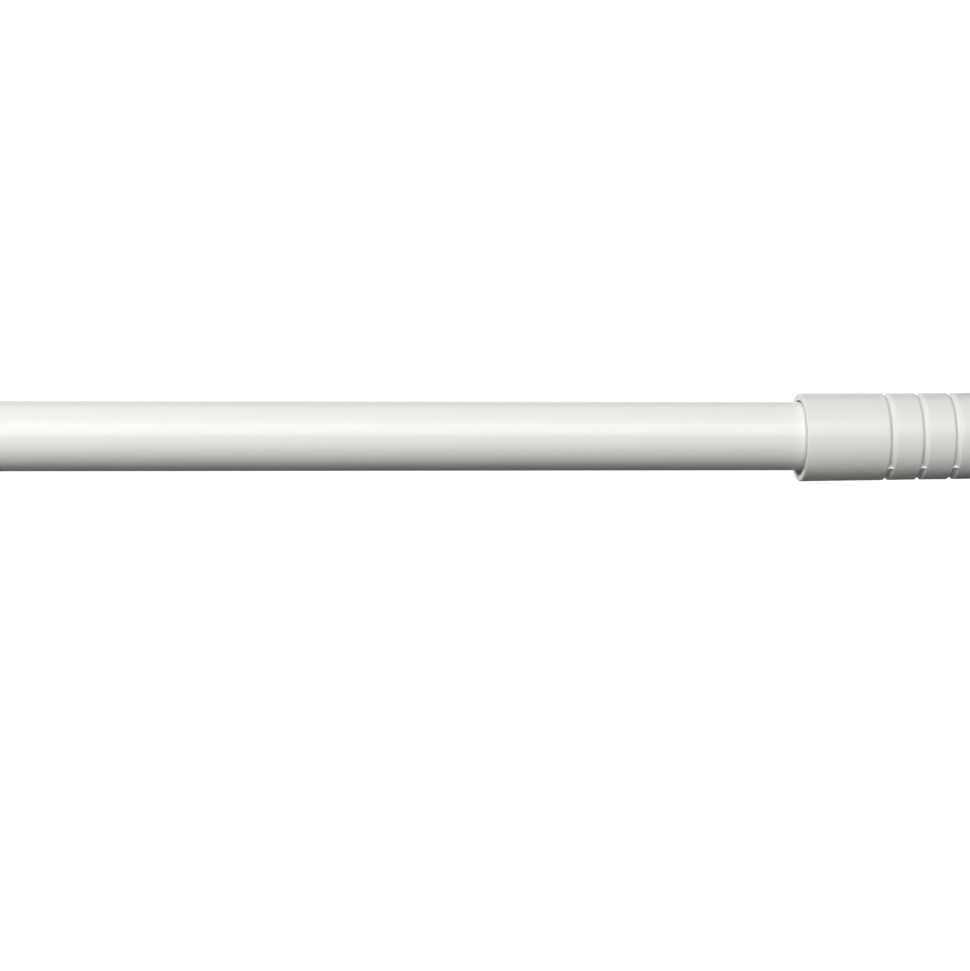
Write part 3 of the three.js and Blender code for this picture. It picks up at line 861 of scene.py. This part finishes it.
def make_wall_plate(side):
    """A plate with its socket, its two countersunk holes and the boss of its lock screw."""
    node = side + "_wall_plate"
    straight = (PLATE_HEIGHT - PLATE_WIDTH) / 2
    half = PLATE_WIDTH / 2
    outline = np.vstack([arc((0, straight), half, 0, 180, 48), arc((0, -straight), half, 180, 360, 48)])
    front = PLATE_THICKNESS
    hole = [(SINK_R + 0.25, front), (SINK_R + 0.12, front - 0.05), (SINK_R, front - 0.2)]
    hole += [(HOLE_R + 0.05, front - SINK_DEPTH), (HOLE_R, front - SINK_DEPTH - 0.15)]
    hole += [(HOLE_R, 0.3), (HOLE_R + 0.1, 0.08), (HOLE_R + 0.25, 0)]
    weld = SOCKET_WELD
    socket = [(SOCKET_R + weld + EDGE_SUPPORT, front)]
    for t in np.radians(np.linspace(0, 90, 7)):
        socket.append((SOCKET_R + weld * (1 - math.sin(t)), front + weld * (1 - math.cos(t))))
    end = front + SOCKET_LENGTH
    inside_r = ARM_R + GAP
    socket += rounded([
        (SOCKET_R, front + weld + 0.2),
        (SOCKET_R, end, 0.5),
        (inside_r, end, 0.4),
        (inside_r, front),
    ])
    features = [((0, z), hole, True) for z in (-WALL_SCREW_Z, WALL_SCREW_Z)] + [((0, 0), socket, False)]
    place = Matrix.Translation((BRACKET_X[side], 0, 0)) @ Matrix.Rotation(math.pi / 2, 4, "X")
    piece = slab(node + "_welded", outline, PLATE_THICKNESS, PLATE_EDGE, features, place)

    at = (BRACKET_X[side], LOCK_Y * MM, 0)
    far = SOCKET_R + BOSS_LENGTH - 1
    combine(piece, boss("boss_tool", BOSS_R, 6.6, far, (0, 0, -1), at), "UNION")
    turn = np.linspace(0, TAU, 96, endpoint=False)
    x, y = BOSS_R * np.cos(turn), BOSS_R * np.sin(turn)
    path = np.stack([x, y, -np.sqrt(SOCKET_R ** 2 - x ** 2)], -1)
    ring = bead("bead_tool", path)
    move(ring, Matrix.Translation(at))
    combine(piece, ring, "UNION")
    combine(piece, bore("bore_tool", SHANK_R + SHANK_GAP, 1, far, (0, 0, -1), at), "DIFFERENCE")
    smooth(piece.data, SMOOTH_ANGLE)
    finish_piece(piece, "wall_side", "bracket_paint", node)


CRADLE_ARC_Z = CRADLE_R - OUTER_TUBE_R - GAP      # the middle of the U's arc, above the rod's line


def cradle_outline():
    """The U's outline, from its front over the bottom to its back, and back along the inside."""
    outside, lip = CRADLE_R + CRADLE_THICKNESS, CRADLE_THICKNESS / 2
    return np.vstack([
        arc((0, CRADLE_ARC_Z), outside, 180, 360, 72),
        arc((outside - lip, CRADLE_BACK_RISE - lip), lip, 0, 180, 14),
        arc((0, CRADLE_ARC_Z), CRADLE_R, 360, 180, 72),
        arc((-outside + lip, CRADLE_FRONT_RISE - lip), lip, 0, 180, 14),
    ])


def make_cradle(side):
    """A cradle: the U, with a boss for the arm behind it and a boss for the lock screw below."""
    node = side + "_cradle"
    x = BRACKET_X[side]
    turn_up = Matrix(((0, 0, 1, 0), (1, 0, 0, 0), (0, 1, 0, 0), (0, 0, 0, 1)))
    place = Matrix.Translation((x - CRADLE_WIDTH / 2 * MM, ROD_Y, ROD_Z)) @ turn_up
    piece = slab(node + "_welded", cradle_outline(), CRADLE_WIDTH, CRADLE_EDGE, [], place)

    outside = CRADLE_R + CRADLE_THICKNESS
    at = (x, ROD_Y, ROD_Z)
    back = outside + CRADLE_BOSS_LENGTH
    combine(piece, boss("back_tool", CRADLE_BOSS_R, outside - 1.2, back, (0, 1, 0), at), "UNION")
    bottom = outside - CRADLE_ARC_Z
    below = bottom + BOSS_LENGTH
    combine(piece, boss("below_tool", BOSS_R, bottom - 1, below, (0, 0, -1), at), "UNION")

    turn = np.linspace(0, TAU, 110, endpoint=False)
    u, v = np.cos(turn), np.sin(turn)
    seam = CRADLE_BOSS_R * np.stack([np.clip(u, -BEAD_REACH, BEAD_REACH), 0 * u, v], -1)
    seam[:, 1] = np.sqrt(outside ** 2 - (seam[:, 2] - CRADLE_ARC_Z) ** 2)
    ring = bead("back_bead_tool", seam)
    move(ring, Matrix.Translation(at))
    combine(piece, ring, "UNION")
    seam = BOSS_R * np.stack([u, v, 0 * u], -1)
    seam[:, 2] = CRADLE_ARC_Z - np.sqrt(outside ** 2 - seam[:, 1] ** 2)
    ring = bead("below_bead_tool", seam)
    move(ring, Matrix.Translation(at))
    combine(piece, ring, "UNION")

    seat = back - ARM_IN_CRADLE
    combine(piece, bore("arm_tool", ARM_R + GAP, seat, back, (0, 1, 0), at), "DIFFERENCE")
    combine(piece, bore("thread_tool", SHANK_R + SHANK_GAP, 9, below, (0, 0, -1), at), "DIFFERENCE")
    sink = [
        (0, CRADLE_R - 3),
        (SINK_R + 0.1, CRADLE_R - 3),
        (SINK_R + 0.1, CRADLE_R + 0.2),
        (HOLE_R, CRADLE_R + 2.6),
        (HOLE_R, seat + 1),
        (0, seat + 1),
    ]
    combine(piece, spun("sink_tool", sink, standing((0, 1, 0), at), 64), "DIFFERENCE")
    smooth(piece.data, SMOOTH_ANGLE)
    finish_piece(piece, side + "_arm", "bracket_paint", node)


ARM_HOLE_R, ARM_HOLE_DEPTH = 2.2, 11


def make_arm(side):
    """A plain bar with a hole for the cradle's screw in its front end."""
    node = side + "_arm"
    low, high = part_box(node)
    length = (high.y - low.y) / MM
    corners = [(0, ARM_HOLE_DEPTH), (ARM_HOLE_R - 0.2, ARM_HOLE_DEPTH), (ARM_HOLE_R, 0, 0.2)]
    corners += [(ARM_R, 0, 0.5), (ARM_R, length, 0.8), (0, length)]
    place = standing((0, 1, 0), (BRACKET_X[side], low.y, 0))
    piece = spun(node + "_bar", rounded(corners), place, 96)
    finish_piece(piece, side + "_arm", "bracket_paint", node)


# ---- The studio ---------------------------------------------------------------------------------

FLOOR_Z = -3.2                # low enough for a view from below
STUDIO_R = 9.0                # from the middle of the studio to its wall
STUDIO_BEND = 2.0             # the curve between floor and wall, and between wall and ceiling
STUDIO_HEIGHT = 9.0
STUDIO_COLUMNS = 96
PAPER_GLOW = 1.05             # enough to show as white from every side
WHITE = (1, 1, 1, 1)


def make_studio():
    """A pale floor that curves up into a wall and a ceiling all round.

    Every view has a pale background with it, and it casts no light or colour on the rod.
    """
    straight = STUDIO_R - STUDIO_BEND
    turns = np.radians(np.linspace(0, 90, 13))
    low = [(straight + STUDIO_BEND * math.sin(t), STUDIO_BEND * (1 - math.cos(t))) for t in turns]
    high = [(r, STUDIO_HEIGHT - z) for r, z in reversed(low)]
    angles = np.linspace(0, TAU, STUDIO_COLUMNS, endpoint=False)
    points = [(r * math.cos(a), r * math.sin(a), FLOOR_Z + z) for r, z in low + high for a in angles]
    faces = grid_faces(len(low + high), len(angles))
    last = len(points) - len(angles)
    faces += [range(len(angles)), range(last, len(points))]
    mesh = bpy.data.meshes.new("studio_floor")
    mesh.from_pydata(points, [], [tuple(face) for face in faces])
    mesh.shade_smooth()
    floor = bpy.data.objects.new("studio_floor", mesh)
    bpy.context.scene.collection.objects.link(floor)
    paper = bpy.data.materials.new("studio_paper")
    paper.use_nodes = True
    shader = paper.node_tree.nodes["Principled BSDF"]
    shader.inputs["Base Color"].default_value = (0.9, 0.9, 0.9, 1)
    shader.inputs["Roughness"].default_value = 0.9
    shader.inputs["Emission Color"].default_value = WHITE
    shader.inputs["Emission Strength"].default_value = PAPER_GLOW
    mesh.materials.append(paper)
    floor.visible_diffuse = False
    floor.visible_glossy = False


LIGHT_DISTANCE = 1.5
LIGHT_LENGTH = 3.2
LIGHTS_LEFT = 1.15            # how far left of the cap's mouth the lights are centred
AMBIENT = 0.005


def make_strip(name, low, high, radiance):
    """A long soft light parallel to the rod.

    It spans these angles about the rod, in degrees: 0 is level in front, 90 straight above, and 180
    level behind. Radiance 1 shows as white.
    """
    data = bpy.data.lights.new(name, "AREA")
    data.shape = "RECTANGLE"
    data.size = LIGHT_LENGTH
    data.size_y = 2 * LIGHT_DISTANCE * math.tan(math.radians((high - low) / 2))
    data.energy = radiance * math.pi * data.size * data.size_y
    turn = math.radians((low + high) / 2)
    light = bpy.data.objects.new(name, data)
    away = Vector((0, -math.cos(turn), math.sin(turn))) * LIGHT_DISTANCE
    light.location = Vector((RIGHT_MOUTH - LIGHTS_LEFT, ROD_Y, ROD_Z)) + away
    light.rotation_euler = (math.pi / 2 - turn, 0, 0)
    light.visible_camera = False
    bpy.context.scene.collection.objects.link(light)


def make_lights():
    """The key softbox with its cards in front, and papers above and behind for the edges' glow."""
    make_strip("key_softbox", 7, 44.5, 4.4)
    make_strip("high_card", 44.5, 60, 0.55)
    make_strip("front_card", -4, 7, 0.5)
    make_strip("low_card", -36, -14, 0.68)
    make_strip("top_softbox", 94, 121, 0.8)
    make_strip("rear_card", 121, 146, 0.48)
    make_strip("back_paper", 146, 192, 1.05)
    make_strip("floor_paper", 195, 240, 0.2)


def make_world():
    world = bpy.data.worlds.new("studio")
    world.use_nodes = True
    sky = world.node_tree.nodes["Background"]
    sky.inputs["Color"].default_value = WHITE
    sky.inputs["Strength"].default_value = AMBIENT
    bpy.context.scene.world = world


def set_colours():
    """Plain colours: white paper shows as white."""
    view = bpy.context.scene.view_settings
    view.view_transform = "Standard"
    view.look = "None"
    view.exposure = 0
    view.gamma = 1


# ---- Putting it together ------------------------------------------------------------------------

make_camera()
make_tube("outer_tube", "outer_rod")
make_tube("inner_tube", "inner_rod")
make_caps()
make_plug("right_cap_plug", "right_cap", "outer_tube", 1)
make_plug("left_cap_plug", "left_cap", "inner_tube", -1)
for side in SIDES:
    make_wall_plate(side)
    make_wall_screws(side)
    make_arm(side)
    make_cradle(side)
    make_cradle_screw(side)
    for kind in ("arm", "rod"):
        screw = f"{side}_{kind}_lock_screw"
        make_shank(screw, screw)
        make_knob(screw + "_knob", screw + "_knob")
make_studio()
make_lights()
make_world()
set_colours()
